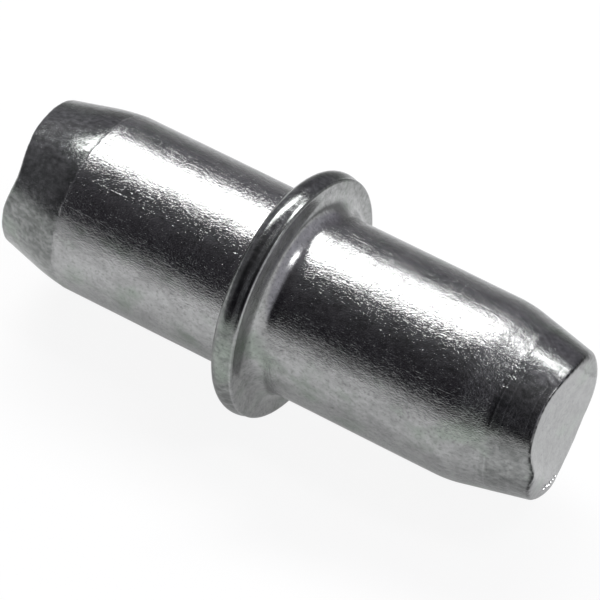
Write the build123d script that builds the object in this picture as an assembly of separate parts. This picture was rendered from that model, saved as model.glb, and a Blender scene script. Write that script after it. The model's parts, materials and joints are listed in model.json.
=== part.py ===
from build123d import *

import os
from math import cos, radians, sin, tan

# Shelf support pin, cold-headed from steel wire as one piece.
# The axis runs along X. The origin is on the axis, in the face of the collar that seats on a cabinet side.
# The panel spigot points to -X and goes into the cabinet side, and the shelf spigot points to +X.

# Spigots
spigot_diameter = 4.95
panel_straight = 5.40
shelf_straight = 5.665
panel_taper_length = 1.94
shelf_taper_length = 2.05
taper_angle = 12.2
panel_taper_round = 0.3
shelf_taper_round = 3.0

# Collar between the spigots
collar_diameter = 6.8
collar_width = 0.735

# Rounds of the collar, as shares of its step above the spigots or its width, whichever is less
panel_rim_share = 0.49
shelf_rim_share = 0.22
panel_root_share = 0.27
shelf_root_share = 0.37

# Cropped tips, where a shear cut the wire
shear_turn = 52.6
shear_tilt = 5.2
tip_edge_round = 0.12

# S-shaped lines across the cropped tips, where the shear goes in and where it comes out.
# They run from the upper edge to the lower one, and lie a share of the tip's radius beyond its axis.
# Each pair is the place across the tip and the height along +X, as shares of the tip's radius.
line_reach_share = 1.2
panel_in_shares = ((-1.2, -0.09), (-0.5, -0.085), (-0.2, -0.04), (0.2, 0.03), (0.6, -0.04), (1.2, -0.10))
panel_out_shares = ((-1.2, -0.09), (-0.5, -0.06), (0.2, 0.0), (0.6, -0.02), (1.2, -0.06))
shelf_in_shares = (
    (-1.2, 0.02), (-0.7, 0.05), (-0.2, 0.0), (0.3, 0.03), (0.5, 0.08), (0.7, 0.22), (0.9, 0.17), (1.2, 0.0))
shelf_out_shares = ((-1.2, 0.06), (-0.7, 0.04), (-0.2, 0.0), (0.3, 0.03), (0.7, 0.07), (1.2, 0.05))

# Length that cuts run past the metal
overrun = 1.5

spigot_radius = spigot_diameter / 2
collar_radius = collar_diameter / 2
collar_section = min(collar_radius - spigot_radius, collar_width)
taper_slope = tan(radians(taper_angle))
panel_tip = -panel_straight - panel_taper_length
shelf_tip = collar_width + shelf_straight + shelf_taper_length


def headed_blank():
    """The pin as it leaves the header, turned from its profile, with tips that still have spare length."""
    panel_end = panel_tip - overrun
    shelf_end = shelf_tip + overrun
    panel_end_radius = spigot_radius - taper_slope * (panel_taper_length + overrun)
    shelf_end_radius = spigot_radius - taper_slope * (shelf_taper_length + overrun)
    corners = [
        ((panel_end, panel_end_radius), 0),
        ((-panel_straight, spigot_radius), panel_taper_round),
        ((0, spigot_radius), panel_root_share * collar_section),
        ((0, collar_radius), panel_rim_share * collar_section),
        ((collar_width, collar_radius), shelf_rim_share * collar_section),
        ((collar_width, spigot_radius), shelf_root_share * collar_section),
        ((collar_width + shelf_straight, spigot_radius), shelf_taper_round),
        ((shelf_end, shelf_end_radius), 0),
    ]
    points = [(panel_end, 0)] + [point for point, _ in corners] + [(shelf_end, 0)]
    outside = FilletPolyline(*points, radius=[round_size for _, round_size in corners])
    return revolve(make_face([*outside.edges(), Line(points[-1], points[0])]), Axis.X)


def cropping_shear(tip, tip_radius, in_shares, out_shares, outward):
    """What the shear takes off one tip: all beyond a tilted cut that goes from one S-shaped line to another."""
    turn = radians(shear_turn)
    across = Vector(0, -sin(turn), -cos(turn))
    through = Vector(tan(radians(shear_tilt)), -cos(turn), sin(turn))
    middle = Plane((tip, 0, 0), x_dir=across, z_dir=through)
    beyond = outward * (spigot_diameter + overrun)
    blades = []
    for side, line_shares in ((-1, out_shares), (1, in_shares)):
        line = Spline(*[(place * tip_radius, height * tip_radius) for place, height in line_shares])
        first, last = line @ 0, line @ 1
        sides = Polyline(last, (last.X, beyond), (first.X, beyond), first)
        blades.append(middle.offset(side * line_reach_share * tip_radius) * make_face([line, *sides.edges()]))
    return loft(blades, ruled=True)


def shelf_pin():
    """The finished pin: the headed blank with both tips cropped and their edges rolled over."""
    panel_tip_radius = spigot_radius - taper_slope * panel_taper_length
    shelf_tip_radius = spigot_radius - taper_slope * shelf_taper_length
    pin = headed_blank()
    pin -= cropping_shear(panel_tip, panel_tip_radius, panel_in_shares, panel_out_shares, -1)
    pin -= cropping_shear(shelf_tip, shelf_tip_radius, shelf_in_shares, shelf_out_shares, 1)
    tip_faces = pin.faces().sort_by(Axis.X)[0], pin.faces().sort_by(Axis.X)[-1]
    return fillet([edge for face in tip_faces for edge in face.edges()], tip_edge_round)


os.makedirs("parts", exist_ok=True)
export_step(shelf_pin(), "parts/shelf_pin.step")
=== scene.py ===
"""The shelf support pin in its finished state, in a studio.

The pin has cropped tips, an upset collar, the marks of its wire and bright zinc plating.
"""

import json
import logging
import math
from dataclasses import dataclass
from enum import Enum

import bmesh
import bpy
from mathutils import Matrix, Vector, noise


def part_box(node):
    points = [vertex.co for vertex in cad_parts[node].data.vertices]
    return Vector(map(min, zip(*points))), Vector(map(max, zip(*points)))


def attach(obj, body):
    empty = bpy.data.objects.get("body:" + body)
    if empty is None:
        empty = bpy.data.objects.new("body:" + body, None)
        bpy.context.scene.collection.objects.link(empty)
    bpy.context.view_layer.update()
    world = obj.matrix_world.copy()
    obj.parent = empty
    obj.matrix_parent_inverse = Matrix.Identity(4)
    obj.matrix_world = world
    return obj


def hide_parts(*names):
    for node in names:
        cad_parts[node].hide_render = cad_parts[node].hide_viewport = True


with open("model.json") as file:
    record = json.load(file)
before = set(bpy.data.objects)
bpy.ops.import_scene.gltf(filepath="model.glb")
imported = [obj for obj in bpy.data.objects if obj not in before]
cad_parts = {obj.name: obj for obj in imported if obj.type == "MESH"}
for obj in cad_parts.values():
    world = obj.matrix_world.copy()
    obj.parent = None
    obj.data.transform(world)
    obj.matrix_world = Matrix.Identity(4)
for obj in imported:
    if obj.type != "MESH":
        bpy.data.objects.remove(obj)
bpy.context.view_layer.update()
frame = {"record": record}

logging.basicConfig(level=logging.INFO, format="%(message)s")
log = logging.getLogger("shelf_pin")

Socket = bpy.types.NodeSocket
Span = tuple[float, float]
Way = tuple[float, float, float]
Colour = tuple[float, float, float, float]

NODE = "shelf_pin"
BODY = "root"
MILLIMETRE = 0.001
PER_MILLIMETRE = 1.0 / MILLIMETRE
NO_LENGTH = 1e-9
SAME_PLACE = 1e-6
MERGED_PLACE = 1e-5
NONE_TO_ALL = (0.0, 1.0)
ALL_TO_NONE = (1.0, 0.0)
BLACK = (0.0, 0.0, 0.0, 1.0)


class End(Enum):
    """The two ends of the pin, by the sign of the way they point along X."""

    PANEL = -1
    SHELF = 1


class Mark(Enum):
    """What a point of the surface shows, by the name of the attribute that says how much."""

    SKIN = "wire_skin"
    CUT = "sheared"
    PITS = "pitted"
    PAINTED_SHADE_AND_GRIME = "grimy"
    SWAGED = "swaged"
    TINT_AND_REFLECTION = "tinted"


def smoothstep(low: float, high: float, value: float) -> float:
    """Rises smoothly from 0 at low to 1 at high.

    Args:
        low: The value at which the rise begins.
        high: The value at which it ends.
        value: The value asked for.

    Returns:
        A share from 0 to 1.
    """
    share = min(max((value - low) / (high - low), 0.0), 1.0)
    return share * share * (3.0 - 2.0 * share)


def bell(offset: float, width: float) -> float:
    """A bump of height 1 that fades to nothing over a few widths.

    Args:
        offset: The distance from its middle.
        width: Its half width.

    Returns:
        A share from 0 to 1.
    """
    return math.exp(-((offset / width) ** 2))


def turn_between(first: float, second: float) -> float:
    """The shorter turn from one bearing to another.

    Args:
        first: The bearing turned to.
        second: The bearing turned from.

    Returns:
        The angle, from minus to plus half a turn.
    """
    return math.remainder(first - second, math.tau)


class NodeGraph:
    """A shader tree that is filled one node at a time."""

    def __init__(self, tree: bpy.types.NodeTree) -> None:
        """Takes a tree and clears it."""
        self.tree = tree
        tree.nodes.clear()

    def add(self, kind: str, inputs: dict | None = None, **settings: object) -> bpy.types.Node:
        """Adds a node.

        Args:
            kind: The node's Blender type.
            inputs: A constant or an output socket for each input, by name or number.
            **settings: The node's own properties.

        Returns:
            The new node.
        """
        node = self.tree.nodes.new(kind)
        for name, value in settings.items():
            setattr(node, name, value)
        for name, value in (inputs or {}).items():
            if isinstance(value, Socket):
                self.tree.links.new(value, node.inputs[name])
            else:
                node.inputs[name].default_value = value
        return node

    def mix(self, share: object, first: object, second: object, blend: str = "MIX") -> Socket:
        """Mixes two colours.

        Args:
            share: How much of the second, a constant or a socket.
            first: The first colour or socket.
            second: The second colour or socket.
            blend: The way they are mixed.

        Returns:
            The mixed colour's socket.
        """
        inputs = {0: share, 6: first, 7: second}
        return self.add("ShaderNodeMix", inputs, data_type="RGBA", blend_type=blend).outputs[2]

    def map_range(self, value: Socket, source: tuple, target: Span = NONE_TO_ALL) -> Socket:
        """Maps one range of a value onto another, held at its ends.

        Args:
            value: The socket to map.
            source: The lowest and highest value that come in, constants or sockets.
            target: What they become.

        Returns:
            The mapped value's socket.
        """
        limits = {1: source[0], 2: source[1], 3: target[0], 4: target[1]}
        return self.add("ShaderNodeMapRange", {0: value, **limits}).outputs[0]

    def calculate(self, operation: str, *values: object) -> Socket:
        """Works out one value from others.

        Args:
            operation: The sum that is done.
            *values: The constants or sockets that go into it.

        Returns:
            The result's socket.
        """
        return self.add("ShaderNodeMath", dict(enumerate(values)), operation=operation).outputs[0]


@dataclass(frozen=True)
class Grain:
    """A noise that is drawn out along the pin's axis, with its number of features across a millimetre."""

    per_mm: float
    along_share: float
    octaves: float

    def value(self, graph: NodeGraph, place: Socket) -> Socket:
        """Adds the noise to a tree.

        Args:
            graph: The tree it goes into.
            place: The coordinates that it reads.

        Returns:
            The noise's value socket.
        """
        across = self.per_mm * PER_MILLIMETRE
        scale = (across * self.along_share, across, across)
        scaled = graph.add("ShaderNodeMapping", {"Vector": place, "Scale": scale}).outputs[0]
        made = graph.add("ShaderNodeTexNoise", {"Vector": scaled, "Scale": 1.0, "Detail": self.octaves})
        return made.outputs["Fac"]


@dataclass(frozen=True)
class ZincPlating:
    """Bright zinc over drawn and cold-headed wire: peel, drawing marks, pits, a faint green tint that is part
    passivation and part painted floor reflection, and painted shade.

    A range is the part of a noise that counts, and the shares are what its ends become. Heights are in
    millimetres.
    """

    colour: Colour = (0.390, 0.393, 0.390, 1.0)
    cut_colour: Colour = (0.283, 0.286, 0.283, 1.0)
    swaged_colour: Colour = (0.180, 0.188, 0.181, 1.0)
    swaged_range: Span = (0.30, 0.68)
    swaged_shares: Span = (0.55, 1.15)
    # A green that is part passivation tone and part painted reflection of a greenish floor.
    green_colour: Colour = (0.276, 0.313, 0.276, 1.0)
    green: Grain = Grain(1.1, 0.8, 5.0)
    green_range: Span = (0.52, 0.68)
    green_shares: Span = (0.0, 0.8)
    cloud: Grain = Grain(2.4, 0.6, 6.0)
    mottle: Grain = Grain(8.0, 0.6, 6.0)
    mottled_range: Span = (0.82, 1.24)
    mottled_shares: Span = (1.05, 0.80)
    speckle: Grain = Grain(15.0, 0.8, 3.0)
    speckled_range: Span = (0.54, 0.70)
    speckled_shares: Span = (1.04, 0.74)
    # A dark colour for painted shade and shadow, and for the real stain on the rolled corner.
    shade_and_grime_colour: Colour = (0.035, 0.036, 0.036, 1.0)
    shade_and_grime: Grain = Grain(11.0, 0.8, 2.0)
    shade_and_grime_range: Span = (0.36, 0.56)
    shade_and_grime_shares: Span = (0.3, 1.0)
    sheen: Grain = Grain(12.0, 0.5, 2.0)
    sheen_range: Span = (0.3, 0.7)
    roughness: Span = (0.16, 0.25)
    peel: Grain = Grain(33.0, 0.5, 2.0)
    peel_height: float = 0.0094
    dash: Grain = Grain(38.0, 0.24, 2.0)
    dash_range: Span = (0.615, 0.715)
    dash_height: float = 0.0016
    scratch: Grain = Grain(24.0, 0.03, 1.0)
    scratch_range: Span = (0.66, 0.76)
    scratch_height: float = 0.0018
    pit_per_mm: float = 12.0
    pit_range: Span = (1.0, 1.42)
    pit_reach: float = 0.50
    pit_height: float = 0.055

    def material(self) -> bpy.types.Material:
        """Makes the plating's material, which reads Object coordinates and the marks.

        Returns:
            The material.
        """
        made = bpy.data.materials.new("bright_zinc")
        made.use_nodes = True
        graph = NodeGraph(made.node_tree)
        place = graph.add("ShaderNodeTexCoord").outputs["Object"]
        marks = {}
        for mark in Mark:
            marks[mark] = graph.add("ShaderNodeAttribute", attribute_name=mark.value).outputs["Fac"]
        colour, roughness = self._tints(graph, place, marks)
        normal = self._relief(graph, place, marks)
        shader = graph.add("ShaderNodeBsdfPrincipled", {
            "Base Color": colour, "Metallic": 1.0, "Roughness": roughness, "Normal": normal})
        graph.add("ShaderNodeOutputMaterial", {"Surface": shader.outputs[0]})
        return made

    def _tints(self, graph: NodeGraph, place: Socket, marks: dict[Mark, Socket]) -> tuple[Socket, Socket]:
        """Mottled colour and roughness.

        Args:
            graph: The tree they go into.
            place: The coordinates that they read.
            marks: The sockets of the marks.

        Returns:
            The sockets of the colour and the roughness.
        """
        cloud = self.cloud.value(graph, place)
        mottle = self.mottle.value(graph, place)
        swaged = graph.map_range(mottle, self.swaged_range, self.swaged_shares)
        swaged = graph.calculate("MULTIPLY", swaged, marks[Mark.SWAGED])
        # Green: part passivation tone, part painted reflection of the floor on the sides that mirror it.
        green = graph.map_range(self.green.value(graph, place), self.green_range, self.green_shares)
        green = graph.calculate("MULTIPLY", green, marks[Mark.TINT_AND_REFLECTION])
        mottled = graph.calculate("ADD", cloud, mottle)
        mottled = graph.map_range(mottled, self.mottled_range, self.mottled_shares)
        speckle = self.speckle.value(graph, place)
        speckled = graph.map_range(speckle, self.speckled_range, self.speckled_shares)
        # Painted shade in the lip's crevice, the crease and the ledge, a painted shadow spot and the real
        # stain all darken towards one colour.
        shade_and_grime = graph.map_range(self.shade_and_grime.value(graph, place), self.shade_and_grime_range, self.shade_and_grime_shares)
        shade_and_grime = graph.calculate("MULTIPLY", shade_and_grime, marks[Mark.PAINTED_SHADE_AND_GRIME])
        colour = graph.mix(marks[Mark.CUT], self.colour, self.cut_colour)
        colour = graph.mix(swaged, colour, self.swaged_colour)
        colour = graph.mix(green, colour, self.green_colour)
        colour = graph.mix(1.0, colour, mottled, "MULTIPLY")
        colour = graph.mix(1.0, colour, speckled, "MULTIPLY")
        colour = graph.mix(shade_and_grime, colour, self.shade_and_grime_colour)
        sheen = self.sheen.value(graph, place)
        return colour, graph.map_range(sheen, self.sheen_range, self.roughness)

    def _pits(self, graph: NodeGraph, place: Socket, density: Socket) -> Socket:
        """Small pits, scattered at random.

        Args:
            graph: The tree they go into.
            place: The coordinates that they read.
            density: How many of the places have a pit, and how wide it is.

        Returns:
            The socket of their height.
        """
        scale = self.pit_per_mm * PER_MILLIMETRE
        cells = graph.add("ShaderNodeTexVoronoi", {"Vector": place, "Scale": scale}).outputs
        chance = graph.add("ShaderNodeSeparateColor", {0: cells["Color"]}).outputs[0]
        chance = graph.calculate("ADD", chance, density)
        reach = graph.map_range(chance, self.pit_range, (0.0, self.pit_reach))
        reach = graph.calculate("MULTIPLY", reach, reach)
        depth = graph.calculate("MULTIPLY", cells["Distance"], cells["Distance"])
        depth = graph.calculate("SUBTRACT", depth, reach)
        return graph.calculate("MINIMUM", depth, 0.0)

    def _relief(self, graph: NodeGraph, place: Socket, marks: dict[Mark, Socket]) -> Socket:
        """The fine relief: peel and drawing marks on the wire's own skin, and pits.

        Args:
            graph: The tree it goes into.
            place: The coordinates that it reads.
            marks: The sockets of the marks.

        Returns:
            The normal's socket.
        """
        skin = marks[Mark.SKIN]
        peel = self.peel.value(graph, place)
        dash = graph.map_range(self.dash.value(graph, place), self.dash_range)
        scratch = graph.map_range(self.scratch.value(graph, place), self.scratch_range)
        pits = self._pits(graph, place, marks[Mark.PITS])
        layers = (
            (peel, self.peel_height, skin),
            (dash, self.dash_height, skin),
            (scratch, self.scratch_height, skin),
            (pits, self.pit_height, 1.0),
        )
        normal = {}
        for height, distance, strength in layers:
            inputs = {"Strength": strength, "Distance": distance * MILLIMETRE, "Height": height, **normal}
            normal = {"Normal": graph.add("ShaderNodeBump", inputs).outputs[0]}
        return normal["Normal"]


@dataclass(frozen=True)
class JaggedLine:
    """An uneven line round the axis, made of waves of one grain and of finer, weaker ones."""

    grain: float
    finer: float
    finer_share: float = 0.6

    def stray(self, bearing: float, along: float) -> float:
        """How far the line strays at a bearing.

        Args:
            bearing: The bearing.
            along: A place along X, by which one line differs from another.

        Returns:
            The distance, as a share of the most it strays.
        """
        place = Vector((math.cos(bearing), math.sin(bearing), along)) * self.grain
        return noise.noise(place) + self.finer_share * noise.noise(place * self.finer)


@dataclass(frozen=True)
class CroppedTip:
    """One end of the pin, where a shear cut the tapered wire from one S-shaped line to another.

    Lengths are in millimetres. The lines' pairs are the place across the tip and the height along X, as
    shares of the tip's radius. Bearings are angles about the axis, from the side where the shear went in.
    The rolled corner lies beyond a chord of the cut, and the lip is the torn edge, along whose crevice shade
    is painted dark.
    """

    end: End
    start: float
    length: float
    spigot_radius: float
    taper_slope: float
    blank_round: float
    in_shares: tuple[Span, ...]
    out_shares: tuple[Span, ...]
    sharp_round: float
    soft_round: float
    soft_bearing: float
    soft_spread: float
    ragged: float
    burr: float
    burr_bearing: float
    burr_spread: float = 0.30
    torn_edge: JaggedLine = JaggedLine(6.0, 2.7)
    torn_reach: float = 0.25
    line_reach_share: float = 1.2
    shear_turn: float = math.radians(52.6)
    shear_slope: float = math.tan(math.radians(5.2))
    edge_passes: int = 3
    cut_span: Span = (0.10, 0.02)
    rolled_rise: float = 1.52
    rolled_fade: float = 0.05
    rolled_span: Span = (0.36, 0.24)
    chord_stray: float = 0.10
    chord_grain: float = 4.0
    # The lip's fields shape a line of painted shade along the crevice of the torn edge.
    lip_bearing: float = math.radians(-10)
    lip_ends: Span = (1.85, 1.45)
    lip_width: float = 0.045
    lip_swell: float = 0.06
    lip_swell_bearing: float = math.radians(-70)
    lip_swell_spread: float = 0.55
    burr_swell: float = 0.08
    burr_swell_spread: float = 0.35
    lip_fade: Span = (1.5, 0.5)
    lip_narrowing: Span = (1.3, 0.65)

    @property
    def tip(self) -> float:
        """Where the middle of the cut lies along X."""
        return self.start + self.end.value * self.length

    @property
    def tip_radius(self) -> float:
        """The taper's radius at the middle of the cut."""
        return self.spigot_radius - self.taper_slope * self.length

    @staticmethod
    def line_height(pairs: tuple[Span, ...], across: float) -> float:
        """An S-shaped line's height, as a share of the tip's radius.

        Args:
            pairs: The line's places and heights.
            across: The place across the tip, as a share of its radius.

        Returns:
            The height along X.
        """
        index = max(i for i in range(len(pairs) - 1) if i == 0 or pairs[i][0] <= across)
        before, after = pairs[max(index - 1, 0)], pairs[min(index + 2, len(pairs) - 1)]
        first, second = pairs[index], pairs[index + 1]
        span = second[0] - first[0]
        share = min(max((across - first[0]) / span, 0.0), 1.0)
        rise_in = (second[1] - before[1]) / (second[0] - before[0]) * span
        rise_out = (after[1] - first[1]) / (after[0] - first[0]) * span
        square, cube = share ** 2, share ** 3
        return ((2 * cube - 3 * square + 1) * first[1] + (cube - 2 * square + share) * rise_in
                + (3 * square - 2 * cube) * second[1] + (cube - square) * rise_out)

    def cut_height(self, towards: float, down: float) -> float:
        """How far along X the cut lies from the tip's middle.

        Args:
            towards: The place along the shear's travel.
            down: The place along the S-shaped lines.

        Returns:
            The height along X.
        """
        across = down / self.tip_radius
        went_in, came_out = (self.line_height(pairs, across) for pairs in (self.in_shares, self.out_shares))
        share = (towards / (self.line_reach_share * self.tip_radius) + 1) / 2
        return self.shear_slope * towards + self.tip_radius * (came_out + (went_in - came_out) * share)

    def place_on_cut(self, towards: float, down: float) -> Vector:
        """The point of the cut at a place across the tip.

        Args:
            towards: The place along the shear's travel.
            down: The place along the S-shaped lines.

        Returns:
            The point.
        """
        turn_cos, turn_sin = math.cos(self.shear_turn), math.sin(self.shear_turn)
        return Vector((self.tip + self.cut_height(towards, down),
                       -turn_cos * towards - turn_sin * down, turn_sin * towards - turn_cos * down))

    def bearing(self, point: Vector) -> float:
        """The angle of a point about the axis.

        Args:
            point: The point.

        Returns:
            The bearing, from the side where the shear went in.
        """
        turn_cos, turn_sin = math.cos(self.shear_turn), math.sin(self.shear_turn)
        down = -turn_sin * point.y - turn_cos * point.z
        return math.atan2(down, -turn_cos * point.y + turn_sin * point.z)

    def edge_round(self, bearing: float) -> float:
        """How far the cut's edge is rounded.

        Args:
            bearing: The bearing of the place on the edge.

        Returns:
            The round's size.
        """
        softness = bell(turn_between(bearing, self.soft_bearing), self.soft_spread)
        return self.sharp_round + (self.soft_round - self.sharp_round) * softness

    def edge_wander(self, bearing: float) -> float:
        """How far the torn edge strays along X.

        Args:
            bearing: The bearing of the place on the edge.

        Returns:
            The distance, with more of it at the burr.
        """
        at_burr = bell(turn_between(bearing, self.burr_bearing), self.burr_spread)
        return self.torn_edge.stray(bearing, self.tip) * (self.ragged + self.burr * at_burr)

    def crop(self, point: Vector) -> Vector:
        """Where a point of the plain tip goes on the cropped one.

        Args:
            point: A point of the turned blank.

        Returns:
            The point, moved along the taper, round the edge or onto the cut.
        """
        sign = self.end.value
        depth = sign * (point.x - self.start)
        if depth <= 0.0:
            return point
        radius = math.hypot(point.y, point.z)
        bearing = self.bearing(point) if radius > NO_LENGTH else 0.0
        towards, down = math.cos(bearing), math.sin(bearing)
        rim_depth, rim_radius = self.length, self.tip_radius
        for _ in range(self.edge_passes):
            rim_depth = self.length + sign * self.cut_height(towards * rim_radius, down * rim_radius)
            rim_radius = self.spigot_radius - self.taper_slope * rim_depth
        wander = self.edge_wander(bearing)
        corner = self.blank_round * math.tan((math.pi / 2 - math.atan(self.taper_slope)) / 2)
        grown = corner * self.edge_round(bearing) / self.blank_round
        below, inside = self.length - depth, self.tip_radius - radius
        if below > corner:
            share = depth / (self.length - corner)
            shift = (rim_depth + wander - self.length + corner - grown) * share * share
            new_radius = radius - self.taper_slope * shift
            new_depth = depth + shift
        else:
            if inside <= corner:
                new_inside = inside * grown / corner
            else:
                new_inside = grown + (inside - corner) * (rim_radius - grown) / (self.tip_radius - corner)
            new_radius = rim_radius - new_inside
            fade = 1.0 - smoothstep(0.0, self.torn_reach, new_inside)
            new_depth = (self.length + sign * self.cut_height(towards * new_radius, down * new_radius)
                         + wander * fade - below * grown / corner)
        scale = new_radius / radius if radius > NO_LENGTH else 0.0
        return Vector((self.start + sign * new_depth, point.y * scale, point.z * scale))

    def is_near(self, point: Vector) -> bool:
        """Whether a point lies on the outer half of the tip."""
        return self.end.value * (point.x - self.start) >= self.length / 2

    def below_cut(self, point: Vector) -> float:
        """How far a point lies back from the cut.

        Args:
            point: A point of the finished pin.

        Returns:
            The distance along X.
        """
        bearing, radius = self.bearing(point), math.hypot(point.y, point.z)
        height = self.tip + self.cut_height(math.cos(bearing) * radius, math.sin(bearing) * radius)
        return self.end.value * (height - point.x)

    def cut_share(self, point: Vector) -> float:
        """How much of the cut face a point shows.

        Args:
            point: A point of the finished pin.

        Returns:
            1 on the cut, and 0 back from its edge.
        """
        return smoothstep(*self.cut_span, self.below_cut(point)) if self.is_near(point) else 0.0

    def past_chord(self, point: Vector) -> float:
        """How far a point lies beyond the uneven chord that bounds the rolled corner.

        Args:
            point: A point of the finished pin.

        Returns:
            The distance, below 0 on the rest of the cut.
        """
        rise = -math.hypot(point.y, point.z) * math.sin(self.bearing(point))
        return rise + self.chord_stray * noise.noise(point * self.chord_grain) - self.rolled_rise

    def rolled_share(self, point: Vector) -> float:
        """How much of the corner that the shear rolled over a point shows.

        Args:
            point: A point of the finished pin.

        Returns:
            1 beyond a chord near the cut's upper edge, and 0 elsewhere.
        """
        if not self.is_near(point):
            return 0.0
        beyond = smoothstep(-self.rolled_fade, self.rolled_fade, self.past_chord(point))
        return beyond * smoothstep(*self.rolled_span, self.below_cut(point))

    def lip_share(self, point: Vector) -> float:
        """How near a point is to the torn lip of the cut, where shade in its crevice is painted dark.

        Args:
            point: A point of the finished pin.

        Returns:
            1 on the lip, and 0 away from it or round the far side.
        """
        if not self.is_near(point):
            return 0.0
        bearing, radius = self.bearing(point), math.hypot(point.y, point.z)
        depth = self.end.value * (point.x - self.start)
        inside = abs(self.spigot_radius - self.taper_slope * depth - radius)
        torn = smoothstep(*self.lip_ends, abs(turn_between(bearing, self.lip_bearing)))
        width = self.lip_width
        width += self.lip_swell * bell(turn_between(bearing, self.lip_swell_bearing), self.lip_swell_spread)
        width += self.burr_swell * bell(turn_between(bearing, self.burr_bearing), self.burr_swell_spread)
        along, inwards = self.lip_narrowing
        away = max(along * abs(self.below_cut(point)), inwards * inside)
        return torn * smoothstep(self.lip_fade[0] * width, self.lip_fade[1] * width, away)


@dataclass(frozen=True)
class Blot:
    """A soft patch on a taper, by its depth along it and its bearing, each with a spread."""

    depth: float
    depth_spread: float
    bearing: float
    bearing_spread: float

    def share(self, depth: float, bearing: float) -> float:
        """How much of the patch a place shows.

        Args:
            depth: The place's depth along the taper.
            bearing: Its bearing.

        Returns:
            1 in the middle of the patch, and 0 away from it.
        """
        turn = turn_between(bearing, self.bearing)
        return bell(depth - self.depth, self.depth_spread) * bell(turn, self.bearing_spread)


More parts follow.
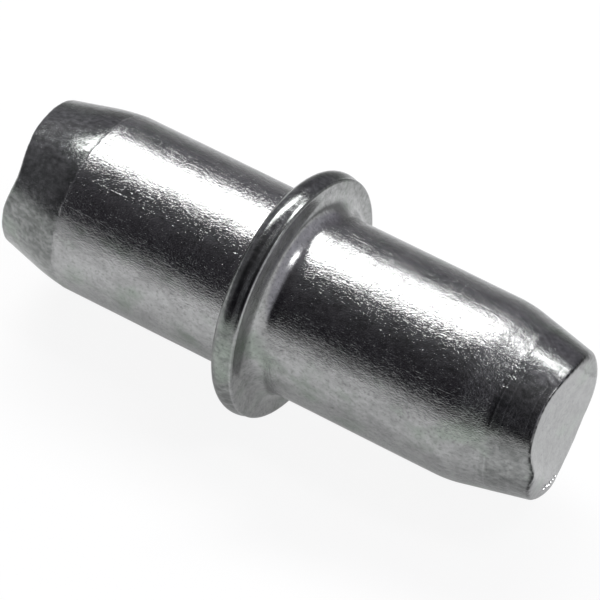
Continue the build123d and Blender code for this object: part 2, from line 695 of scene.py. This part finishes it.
@dataclass(frozen=True)
class SurfaceMarks:
    """What pressing, swaging, shearing and handling left on the pin.

    Lengths are in millimetres. A span is where a mark begins and where it is full. The last word of a share's
    name says what it counts for: smooth takes the wire's skin away, and pits, dull, shade and grime add to
    those marks.
    Shade is painted shade in the lip's crevice, the crease and the ledge, and a painted shadow spot. Grime is
    the real stain. The swage ridge's painted highlight lightens the dull.
    """

    panel: CroppedTip
    shelf: CroppedTip
    collar_width: float
    ledge_width: float
    ridge_depth: float
    pressed_span: Span = (-0.06, -0.02)
    pressed_end: Span = (0.2, 0.7)
    rim_span: Span = (0.3, 0.6)
    shelf_swaged_span: Span = (0.95, 1.15)
    panel_swaged_span: Span = (0.0, 0.2)
    cut_smooth: float = 0.9
    pressed_smooth: float = 0.92
    swaged_smooth: float = 0.55
    rim_smooth: float = 0.65
    patch: Blot = Blot(1.12, 0.20, math.radians(-26), 0.36)
    nicked_place: Span = (-0.93, 1.37)
    nicked_spread: Span = (0.30, 0.16)
    skin_pits: float = 0.18
    swaged_pits: float = 0.16
    rim_pits: float = 0.16
    cut_pits: float = 0.06
    patch_pits: float = 1.3
    nicked_pits: float = 0.5
    rolled_pits: float = 0.25
    panel_dull_span: Span = (0.0, 0.06)
    wall_dull: float = 0.18
    wall_dull_end: float = 1.2
    taper_dull: float = 0.35
    taper_dull_span: Span = (0.1, 0.5)
    swaged_dull: float = 0.72
    swaged_dull_span: Span = (1.05, 1.12)
    pressed_dull: float = 0.1
    rolled_dull: float = 0.9
    # The first swage ridge gets a painted highlight, lighter only on its lower side where it mirrors the
    # floor.
    ridge_width: float = 0.02
    ridge_highlight_bearings: Span = (0.4, 0.8)
    ridge_painted_highlight: float = 0.65
    # A painted shadow: a dark spot on the shelf taper, just below the line that faces the camera.
    shadow_blot: Blot = Blot(1.15, 0.16, math.radians(6), 0.22)
    shadow_blot_shade: float = 0.6
    # Painted shade along the small ledge at the panel taper's break.
    ledge_shade: float = 0.45
    # Painted shade along the crease where the rolled corner meets the rest of the shelf cut.
    crease_width: float = 0.03
    crease_shade: float = 0.8
    stain_bearing: float = math.radians(-125)
    stain_spread: float = 0.45
    stain_radii: Span = (1.6, 1.85)
    stain_grime: float = 0.4
    # The green tint, part passivation tone and part painted reflection of the floor, is kept off the side
    # that mirrors the light and the dark room.
    untinted_bearing: float = math.radians(-20)
    untinted_span: Span = (0.35, 0.9)

    def shares(self, point: Vector, blank_place: float) -> dict[Mark, float]:
        """What the surface shows at a point.

        Args:
            point: The point, in millimetres.
            blank_place: Where it lay along X on the turned blank.

        Returns:
            A share for each mark, 1 or more where it is full.
        """
        radius, bearing = math.hypot(point.y, point.z), self.shelf.bearing(point)
        shelf_depth, panel_depth = point.x - self.shelf.start, self.panel.start - blank_place
        cut = max(self.panel.cut_share(point), self.shelf.cut_share(point))
        rolled = self.shelf.rolled_share(point)
        pressed = self._pressed(point.x - self.collar_width)
        rim = smoothstep(*self.rim_span, radius - self.shelf.spigot_radius) * (1 - pressed)
        swaged = max(smoothstep(*self.shelf_swaged_span, shelf_depth),
                     smoothstep(*self.panel_swaged_span, panel_depth))
        smooth = max(self.cut_smooth * cut, self.pressed_smooth * pressed,
                     self.swaged_smooth * swaged, self.rim_smooth * rim)
        pits = max(self.skin_pits * (1 - cut) * (1 - pressed), self.swaged_pits * swaged * (1 - cut),
                   self.rim_pits * rim, self.cut_pits * cut, self.rolled_pits * rolled,
                   self.patch_pits * self.patch.share(shelf_depth, bearing),
                   self.nicked_pits * cut * self._nicked(radius, bearing))
        dull = max(smoothstep(*self.panel_dull_span, panel_depth), rim, self.pressed_dull * pressed,
                   self.wall_dull * smoothstep(self.collar_width, self.wall_dull_end, point.x),
                   self.taper_dull * smoothstep(*self.taper_dull_span, shelf_depth),
                   self.swaged_dull * smoothstep(*self.swaged_dull_span, shelf_depth))
        # Painted highlight: the swage ridge is made lighter on its lower side only.
        dull *= 1 - self.ridge_painted_highlight * self._ridge_painted_highlight(blank_place, bearing)
        tinted = smoothstep(*self.untinted_span, abs(turn_between(bearing, self.untinted_bearing)))
        stained = self.stain_grime * rolled * self._stain(radius, bearing)
        return {
            Mark.SKIN: 1.0 - smooth,
            Mark.CUT: cut,
            Mark.PITS: pits,
            # Painted shade and shadow, with the real stain of the rolled corner.
            Mark.PAINTED_SHADE_AND_GRIME: max(self._painted_shade_and_grime(point, panel_depth), stained),
            Mark.SWAGED: max(dull * (1 - cut), self.rolled_dull * rolled),
            Mark.TINT_AND_REFLECTION: max(cut, tinted),
        }

    def _pressed(self, past: float) -> float:
        """How far the header's die pressed the surface smooth.

        Args:
            past: The distance past the collar's shelf face.

        Returns:
            1 on that face and the root of the spigot, and 0 elsewhere.
        """
        return smoothstep(*self.pressed_span, past) * (1 - smoothstep(*self.pressed_end, past))

    def _nicked(self, radius: float, bearing: float) -> float:
        """How near a place on the cut is to the nicks round its row of specks.

        Args:
            radius: The place's radius.
            bearing: Its bearing.

        Returns:
            1 among the nicks, and 0 away from them.
        """
        towards, down = radius * math.cos(bearing), radius * math.sin(bearing)
        return (bell(towards - self.nicked_place[0], self.nicked_spread[0])
                * bell(down - self.nicked_place[1], self.nicked_spread[1]))

    def _ridge_painted_highlight(self, blank_place: float, bearing: float) -> float:
        """How much painted highlight lies on the ridge of the first swage line, on its lower side, where it
        mirrors the floor.

        Args:
            blank_place: Where it lay along X on the turned blank.
            bearing: Its bearing.

        Returns:
            1 on the ridge, on its lower side, and 0 elsewhere.
        """
        along = blank_place - self.shelf.start - self.ridge_depth
        return bell(along, self.ridge_width) * smoothstep(*self.ridge_highlight_bearings, bearing)

    def _painted_shade_and_grime(self, point: Vector, panel_depth: float) -> float:
        """How much painted shade lies along the lip's crevice, the crease and the ledge, and in the painted
        shadow spot.

        Args:
            point: The point, in millimetres.
            panel_depth: Its depth along the panel taper, on the turned blank.

        Returns:
            A share from 0 to 1.
        """
        bearing = self.shelf.bearing(point)
        crease = self.shelf.cut_share(point) * bell(self.shelf.past_chord(point), self.crease_width)
        ledge = bell(panel_depth - self.ledge_width / 2, self.ledge_width)
        # The spot is a painted shadow, and the lip, crease and ledge lines are painted shade.
        in_shadow_blot = self.shadow_blot.share(point.x - self.shelf.start, bearing)
        return max(self.shelf.lip_share(point), self.shadow_blot_shade * in_shadow_blot, self.ledge_shade * ledge,
                   self.crease_shade * crease)

    def _stain(self, radius: float, bearing: float) -> float:
        """How near a place is to the stain on the rolled corner's edge.

        Args:
            radius: The place's radius.
            bearing: Its bearing.

        Returns:
            1 in the stain, and 0 away from it.
        """
        turn = turn_between(bearing, self.stain_bearing)
        return bell(turn, self.stain_spread) * smoothstep(*self.stain_radii, radius)


@dataclass(frozen=True)
class Corner:
    """A corner of the profile: its place along X, its radius, and its round with the steps in it."""

    place: float
    radius: float
    round_size: float = 0.0
    steps: int = 1


@dataclass
class ShelfPin:
    """The pin itself, one piece of cold-headed wire. Lengths are in millimetres.

    Each of rim_shares is a corner of the collar's rim: its place, drop and round, as shares of the collar's
    width. Each of swage_lines is a ring on the shelf taper: its depth, half width and sink.
    """

    spigot_radius: float
    collar_radius: float
    panel_straight: float = 5.40
    shelf_straight: float = 5.665
    panel_taper_length: float = 1.94
    shelf_taper_length: float = 2.05
    taper_slope: float = math.tan(math.radians(12.2))
    panel_ledge: Span = (0.03, 0.012)
    panel_ledge_round: float = 0.04
    panel_bulge_place: float = 0.50
    panel_bulge_slope: float = math.tan(math.radians(5.4))
    panel_bulge_round: float = 5.0
    break_line: JaggedLine = JaggedLine(9.0, 2.6)
    break_stray: float = 0.045
    break_reach: float = 0.25
    shelf_break_round: float = 3.0
    swage_lines: tuple[Way, ...] = ((1.08, 0.03, -0.0022), (1.30, 0.025, 0.0013), (1.81, 0.025, 0.0013))
    collar_width: float = 0.735
    collar_lean: float = 0.0145
    lean_reach: float = 0.3
    panel_rim_round: float = 0.36
    panel_root_round: float = 0.20
    shelf_root_round: float = 0.48
    rim_shares: tuple[Way, ...] = (
        (0.60, 0.0, 0.50), (0.845, 0.075, 0.16), (0.955, 0.080, 0.05), (1.0, 0.165, 0.06))
    blank_round: float = 0.12
    panel_in_shares: tuple[Span, ...] = (
        (-1.2, -0.09), (-0.5, -0.085), (-0.2, -0.04), (0.2, 0.03), (0.6, -0.04), (1.2, -0.10))
    panel_out_shares: tuple[Span, ...] = (
        (-1.2, -0.09), (-0.5, -0.06), (0.2, 0.0), (0.6, -0.02), (1.2, -0.06))
    shelf_in_shares: tuple[Span, ...] = (
        (-1.2, 0.02), (-0.7, 0.05), (-0.2, 0.0), (0.3, 0.03), (0.5, 0.08), (0.7, 0.20), (0.9, 0.155),
        (1.2, 0.0))
    shelf_out_shares: tuple[Span, ...] = (
        (-1.2, 0.06), (-0.7, 0.04), (-0.2, 0.0), (0.3, 0.03), (0.7, 0.07), (1.2, 0.05))
    turns: int = 276
    coarse_rings: float = 0.13
    fine_rings: float = 0.05
    wall_margin: float = 0.1
    skin_relief: float = 0.004
    skin_sink: float = 1.5
    skin_along_share: float = 0.45
    dent_grain: float = 3.1
    dent_share: float = 0.6
    swell_grain: float = 1.2
    swell_origin: Way = (7.0, 3.0, 5.0)
    smooth_relief_share: float = 0.3
    speck_count: int = 6
    speck_sides: int = 9
    speck_radius: float = 0.029
    speck_radius_stray: float = 0.8
    speck_foot: float = 1.4
    speck_top: float = 0.8
    speck_row: tuple[Span, Span] = ((-0.55, 1.585), (-1.38, 1.19))
    speck_stray: float = 0.09
    speck_step: float = 1.7
    speck_lane: float = 0.5
    speck_layers: Way = (0.3, 4.7, 9.1)
    speck_facing: Way = (0.437, -0.273, 0.857)
    piece_name: str = "pin_body"

    def __post_init__(self) -> None:
        """Works out both tips and the marks from the sizes."""
        self.shelf_start = self.collar_width + self.shelf_straight
        self.panel = CroppedTip(
            End.PANEL, -self.panel_straight, self.panel_taper_length, self.spigot_radius, self.taper_slope,
            self.blank_round, self.panel_in_shares, self.panel_out_shares, sharp_round=0.10, soft_round=0.20,
            soft_bearing=math.radians(100), soft_spread=0.9, ragged=0.012, burr=0.0, burr_bearing=0.0)
        self.shelf = CroppedTip(
            End.SHELF, self.shelf_start, self.shelf_taper_length, self.spigot_radius, self.taper_slope,
            self.blank_round, self.shelf_in_shares, self.shelf_out_shares, sharp_round=0.06, soft_round=0.34,
            soft_bearing=math.radians(-115), soft_spread=0.75, ragged=0.006, burr=0.022,
            burr_bearing=math.radians(48))
        first_line, _, _ = self.swage_lines[0]
        self.marks = SurfaceMarks(self.panel, self.shelf, self.collar_width, self.panel_ledge[0], first_line)

    def corners(self) -> list[Corner]:
        """The profile's corners.

        Returns:
            The corners, from the middle of the panel tip to the middle of the shelf tip.
        """
        spigot, collar, width = self.spigot_radius, self.collar_radius, self.collar_width
        ledge_width, ledge_drop = self.panel_ledge
        bulge_radius = spigot - ledge_drop - self.panel_bulge_slope * self.panel_bulge_place
        panel_break = -self.panel_straight
        rim = []
        for place, drop, size in self.rim_shares:
            rim.append(Corner(place * width, collar - drop * width, size * width, steps=5))
        swage = []
        for depth, half, sink in self.swage_lines:
            for offset, low in ((-half, 0.0), (0.0, sink), (half, 0.0)):
                radius = spigot - self.taper_slope * (depth + offset) - low
                swage.append(Corner(self.shelf_start + depth + offset, radius, half / 2, steps=2))
        return [
            Corner(self.panel.tip, 0.0),
            Corner(self.panel.tip, self.panel.tip_radius, self.blank_round, steps=6),
            Corner(panel_break - self.panel_bulge_place, bulge_radius, self.panel_bulge_round, steps=8),
            Corner(panel_break - ledge_width, spigot - ledge_drop, self.panel_ledge_round, steps=2),
            Corner(panel_break, spigot, self.panel_ledge_round, steps=2),
            Corner(0.0, spigot, self.panel_root_round, steps=6),
            Corner(0.0, collar, self.panel_rim_round, steps=9),
            *rim,
            Corner(width, spigot, self.shelf_root_round, steps=9),
            Corner(self.shelf_start, spigot, self.shelf_break_round, steps=8),
            *swage,
            Corner(self.shelf.tip, self.shelf.tip_radius, self.blank_round, steps=6),
            Corner(self.shelf.tip, 0.0),
        ]

    def build(self) -> bpy.types.Object:
        """Turns the profile, crops both tips and works the marks into the surface.

        Returns:
            The pin's object.
        """
        mesh = bmesh.new()
        self._draw_profile(mesh)
        self._turn(mesh)
        blank_places = [vert.co.x for vert in mesh.verts]
        for vert in mesh.verts:
            vert.co = self._stray(self._lean(self.panel.crop(self.shelf.crop(vert.co))))
        mesh.normal_update()
        self._mark_skin(mesh, blank_places)
        for face in mesh.faces:
            face.smooth = True
        self._raise_specks(mesh)
        bmesh.ops.scale(mesh, vec=(MILLIMETRE,) * 3, verts=mesh.verts)
        data = bpy.data.meshes.new(self.piece_name)
        mesh.to_mesh(data)
        mesh.free()
        made = bpy.data.objects.new(self.piece_name, data)
        bpy.context.scene.collection.objects.link(made)
        return made

    def _draw_profile(self, mesh: bmesh.types.BMesh) -> None:
        """Draws the profile as a wire, rounds its corners and divides its long runs.

        The straight walls and the panel side's flat faces get the coarser rings.

        Args:
            mesh: The empty mesh it goes into.
        """
        corners = self.corners()
        places = [Vector((corner.place, corner.radius)) for corner in corners]
        verts = [mesh.verts.new((corner.place, 0.0, corner.radius)) for corner in corners]
        for first, second in zip(verts, verts[1:]):
            mesh.edges.new((first, second))
        for index in range(1, len(corners) - 1):
            turn = (places[index] - places[index - 1]).angle(places[index + 1] - places[index])
            bmesh.ops.bevel(
                mesh, geom=[verts[index]], offset=corners[index].round_size * math.tan(turn / 2),
                offset_type="OFFSET", segments=corners[index].steps, profile=0.5, affect="VERTICES",
                clamp_overlap=False, material=-1)
        wall_top = self.spigot_radius + self.wall_margin
        for edge in list(mesh.edges):
            first, second = (vert.co.copy() for vert in edge.verts)
            middle = (first + second) / 2
            straight = abs(first.z - second.z) < SAME_PLACE and middle.z < wall_top
            facing = abs(first.x - second.x) < SAME_PLACE and middle.x < 0.0
            spacing = self.coarse_rings if straight or facing else self.fine_rings
            cuts = int(edge.calc_length() / spacing)
            if cuts:
                bmesh.ops.subdivide_edges(mesh, edges=[edge], cuts=cuts)

    def _turn(self, mesh: bmesh.types.BMesh) -> None:
        """Spins the profile about X and closes the poles.

        Args:
            mesh: The mesh with the profile.
        """
        bmesh.ops.spin(
            mesh, geom=mesh.verts[:] + mesh.edges[:], cent=(0, 0, 0), axis=(1, 0, 0), dvec=(0, 0, 0),
            angle=math.tau, steps=self.turns, use_merge=True)
        bmesh.ops.remove_doubles(mesh, verts=mesh.verts, dist=MERGED_PLACE)
        bmesh.ops.recalc_face_normals(mesh, faces=mesh.faces)

    def _lean(self, point: Vector) -> Vector:
        """Where a point goes on the collar, which leans a little.

        Args:
            point: A point of the straight pin.

        Returns:
            The point, moved along X on the collar.
        """
        radius = math.hypot(point.y, point.z)
        share = smoothstep(self.spigot_radius, self.spigot_radius + self.lean_reach, radius)
        if share == 0.0:
            return point
        down = radius * math.sin(self.shelf.bearing(point))
        return point + Vector((self.collar_lean * down * share, 0.0, 0.0))

    def _stray(self, point: Vector) -> Vector:
        """Where a point goes near the panel taper's break, which is jagged.

        Args:
            point: A point of the pin with an even break.

        Returns:
            The point, moved along X near the break.
        """
        share = bell(point.x + self.panel_straight, self.break_reach)
        jagged = self.break_line.stray(self.panel.bearing(point), 0.0)
        return point + Vector((self.break_stray * jagged * share, 0.0, 0.0))

    def _mark_skin(self, mesh: bmesh.types.BMesh, blank_places: list[float]) -> None:
        """Works the wire's unevenness into the surface and notes what each point of it shows.

        Args:
            mesh: The cropped mesh, in millimetres.
            blank_places: Where each vertex lay along X on the turned blank.
        """
        layers = {mark: mesh.verts.layers.float.new(mark.value) for mark in Mark}
        skin_share = 1.0 - self.smooth_relief_share
        moved = []
        for vert, blank_place in zip(mesh.verts, blank_places):
            shares = self.marks.shares(vert.co, blank_place)
            for mark, share in shares.items():
                vert[layers[mark]] = share
            place = Vector((vert.co.x * self.skin_along_share, vert.co.y, vert.co.z))
            dents = noise.noise(place * self.dent_grain) * self.dent_share
            rough = dents + noise.noise(place * self.swell_grain + Vector(self.swell_origin))
            depth = vert.normal * self.skin_relief * (rough - self.skin_sink)
            moved.append(vert.co + depth * (self.smooth_relief_share + skin_share * shares[Mark.SKIN]))
        for vert, place in zip(mesh.verts, moved):
            vert.co = place

    def _raise_specks(self, mesh: bmesh.types.BMesh) -> None:
        """Raises a row of small torn specks on the shelf tip's cut, near its lower edge.

        Args:
            mesh: The marked mesh, in millimetres.
        """
        first, last = (Vector(place) for place in self.speck_row)
        facing = Vector(self.speck_facing).to_track_quat("Z", "Y").to_matrix().to_4x4()
        for index in range(self.speck_count):
            draws = [Vector((index * self.speck_step, self.speck_lane, layer)) for layer in self.speck_layers]
            chance = Vector([noise.noise(draw) for draw in draws])
            towards, down = first.lerp(last, index / (self.speck_count - 1)) + chance.xy * self.speck_stray
            size = self.speck_radius * (1.0 + self.speck_radius_stray * chance.z)
            bmesh.ops.create_cone(
                mesh, cap_ends=True, segments=self.speck_sides, radius1=self.speck_foot * size,
                radius2=self.speck_top * size, depth=size,
                matrix=Matrix.Translation(self.shelf.place_on_cut(towards, down)) @ facing)

    def dress(self, made: bpy.types.Object, plating: ZincPlating) -> None:
        """Plates the pin and ties it to the CAD frame.

        Args:
            made: The pin's object.
            plating: Its finish.
        """
        made.data.materials.append(plating.material())
        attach(made, BODY)
        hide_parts(NODE)


@dataclass(frozen=True)
class PaleFloor:
    """The floor's finish: bright to the camera, and darker far behind the pin where metal mirrors it."""

    seen_colour: Colour = (0.11, 0.11, 0.11, 1.0)
    seen_glow: float = 0.896
    mirrored_colour: Colour = (0.635, 0.642, 0.635, 1.0)
    mirrored_glow: float = 0.36
    far_share: float = 0.28
    far_span: Span = (0.009, 0.021)

    def material(self) -> bpy.types.Material:
        """Makes the floor's material.

        Returns:
            The material.
        """
        made = bpy.data.materials.new("pale_floor")
        made.use_nodes = True
        graph = NodeGraph(made.node_tree)
        place = graph.add("ShaderNodeTexCoord").outputs["Object"]
        depth = graph.add("ShaderNodeSeparateXYZ", {0: place}).outputs["Y"]
        rays = graph.add("ShaderNodeLightPath").outputs
        far = graph.map_range(depth, self.far_span, (1.0, self.far_share))
        glow = graph.calculate("MULTIPLY", rays["Is Glossy Ray"], far)
        glow = graph.calculate("MULTIPLY", glow, self.mirrored_glow)
        glow = graph.calculate("MULTIPLY_ADD", rays["Is Camera Ray"], self.seen_glow, glow)
        colour = graph.mix(far, BLACK, self.mirrored_colour)
        colour = graph.mix(rays["Is Camera Ray"], colour, self.seen_colour)
        matt = graph.add("ShaderNodeBsdfDiffuse", {"Color": colour})
        pale = graph.add("ShaderNodeEmission", {"Strength": glow})
        shader = graph.add("ShaderNodeAddShader", {0: matt.outputs[0], 1: pale.outputs[0]})
        graph.add("ShaderNodeOutputMaterial", {"Surface": shader.outputs[0]})
        return made


@dataclass(frozen=True)
class SoftLight:
    """A soft oval light, by the way to it from the pin, the way its longer side runs and its two widths."""

    name: str
    way: Way
    along: Way
    size: Span
    radiance: float
    distance: float = 0.30

    def hang(self) -> None:
        """Hangs the light over the pin, with its face towards it."""
        back = Vector(self.way).normalized()
        side = (Vector(self.along) - back * Vector(self.along).dot(back)).normalized()
        lamp = bpy.data.lights.new(self.name, "AREA")
        lamp.shape = "ELLIPSE"
        lamp.size, lamp.size_y = self.size
        lamp.energy = self.radiance * math.pi * math.pi / 4 * self.size[0] * self.size[1]
        made = bpy.data.objects.new(self.name, lamp)
        turn = Matrix((side, back.cross(side), back)).transposed().to_4x4()
        made.matrix_world = Matrix.Translation(back * self.distance) @ turn
        bpy.context.scene.collection.objects.link(made)


@dataclass(frozen=True)
class DimRoom:
    """The room that the metal mirrors: dark in front of the pin, grey behind it, and pale at the horizon.

    A span is where a part of the room begins and where it is full, along X, Y or Z of a way from the pin.
    """

    front_colour: Colour = (0.021, 0.0195, 0.025, 1.0)
    ceiling_colour: Colour = (0.105, 0.102, 0.110, 1.0)
    ceiling_span: Span = (0.72, 0.98)
    back_colour: Colour = (0.188, 0.180, 0.207, 1.0)
    back_side_colour: Colour = (0.297, 0.284, 0.326, 1.0)
    back_side_span: Span = (-0.33, 0.0)
    back_span: Span = (-0.2, 0.4)
    side_colour: Colour = (0.55, 0.54, 0.60, 1.0)
    side_span: Span = (0.12, 0.45)
    end_colour: Colour = (0.19, 0.187, 0.200, 1.0)
    end_span: Span = (-0.45, -0.70)
    horizon_colour: Colour = (0.90, 0.90, 0.90, 1.0)
    horizon_normal: Way = (-0.1126, 0.0894, 0.9896)
    horizon_haze: float = 0.02
    side_haze: float = 0.22

    def world(self) -> bpy.types.World:
        """Makes the room's world.

        Returns:
            The world.
        """
        made = bpy.data.worlds.new("room")
        made.use_nodes = True
        graph = NodeGraph(made.node_tree)
        way = graph.add("ShaderNodeTexCoord").outputs["Generated"]
        parts = graph.add("ShaderNodeSeparateXYZ", {0: way}).outputs
        ceiling = graph.map_range(parts["Z"], self.ceiling_span)
        back_side = graph.map_range(parts["X"], self.back_side_span)
        back = graph.mix(back_side, self.back_colour, self.back_side_colour)
        behind = graph.map_range(parts["Y"], self.back_span)
        side = graph.map_range(parts["X"], self.side_span)
        end = graph.map_range(parts["X"], self.end_span)
        room = graph.mix(ceiling, self.front_colour, self.ceiling_colour)
        room = graph.mix(behind, room, back)
        room = graph.mix(side, room, self.side_colour)
        room = graph.mix(end, room, self.end_colour, "ADD")
        height = graph.add("ShaderNodeVectorMath", {0: way, 1: self.horizon_normal}, operation="DOT_PRODUCT")
        haze = graph.calculate("MULTIPLY_ADD", side, self.side_haze, self.horizon_haze)
        pale = graph.map_range(height.outputs["Value"], (-self.horizon_haze, haze), ALL_TO_NONE)
        colour = graph.mix(pale, room, self.horizon_colour)
        shade = graph.add("ShaderNodeBackground", {"Color": colour, "Strength": 1.0})
        graph.add("ShaderNodeOutputWorld", {"Surface": shade.outputs[0]})
        return made


@dataclass(frozen=True)
class LongLens:
    """The camera, which looks down on the pin from its shelf side.

    Angles are in degrees, and the lens and its sensor are in millimetres.
    """

    azimuth: float = 33.93
    elevation: float = 47.24
    distance: float = 0.150
    lens: float = 352.2
    sensor_width: float = 36.0
    clip: Span = (0.001, 10.0)
    aim: Way = (0.001254, 0.0, 0.0)
    offset: Span = (-0.000511, 0.000203)

    def place(self) -> bpy.types.Object:
        """Sets the camera up.

        Returns:
            The camera's object.
        """
        turn, rise = math.radians(self.azimuth), math.radians(self.elevation)
        back = Vector((math.sin(turn) * math.cos(rise), -math.cos(turn) * math.cos(rise), math.sin(rise)))
        right = Vector((math.cos(turn), math.sin(turn), 0.0))
        up = back.cross(right)
        aim = Vector(self.aim) + right * self.offset[0] + up * self.offset[1]
        data = bpy.data.cameras.new("camera")
        data.lens, data.sensor_width = self.lens, self.sensor_width
        data.clip_start, data.clip_end = self.clip
        made = bpy.data.objects.new("camera", data)
        facing = Matrix((right, up, back)).transposed().to_4x4()
        made.matrix_world = Matrix.Translation(aim + back * self.distance) @ facing
        bpy.context.scene.collection.objects.link(made)
        return made


@dataclass
class Studio:
    """A pale floor, a soft light above and behind, a strip light by the shelf end, a dim room and the camera.

    Lengths are in metres.
    """

    floor_height: float
    floor_size: float = 4.0
    floor_finish: PaleFloor = PaleFloor()
    overhead: SoftLight = SoftLight(
        "softbox", way=(-0.3360, 0.4607, 0.8211), along=(0.8450, 0.5330, 0.0468), size=(0.2773, 0.054),
        radiance=18.5)
    strip: SoftLight = SoftLight(
        "side_strip", way=(0.45, 0.047, 0.8918), along=(0.8930, -0.0235, -0.4494), size=(0.1280, 0.055),
        radiance=8.0)
    room: DimRoom = DimRoom()
    camera: LongLens = LongLens()

    def build(self) -> None:
        """Sets up the floor, the lights, the room and the camera."""
        self._floor()
        self.overhead.hang()
        self.strip.hang()
        bpy.context.scene.world = self.room.world()
        bpy.context.scene.camera = self.camera.place()
        bpy.context.scene.view_settings.view_transform = "Standard"

    def _floor(self) -> None:
        """Lays a plain pale floor under the pin."""
        mesh = bmesh.new()
        bmesh.ops.create_grid(mesh, x_segments=1, y_segments=1, size=self.floor_size / 2,
                              matrix=Matrix.Translation((0, 0, self.floor_height)))
        data = bpy.data.meshes.new("floor")
        mesh.to_mesh(data)
        mesh.free()
        data.materials.append(self.floor_finish.material())
        floor = bpy.data.objects.new("floor", data)
        bpy.context.scene.collection.objects.link(floor)


def main() -> None:
    """Builds the pin and the studio."""
    mounts = {mount["name"]: mount for mount in frame["record"]["mounts"]}
    low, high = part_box(NODE)
    # The collar is the widest part of the pin, so the CAD box gives its radius.
    pin = ShelfPin(mounts["panel_spigot"]["dims"]["r_mm"], min(high.y, high.z) * PER_MILLIMETRE)
    body = pin.build()
    pin.dress(body, ZincPlating())
    log.info("%s: %d faces", body.name, len(body.data.polygons))
    Studio(floor_height=low.z).build()


if __name__ == "__main__":
    main()
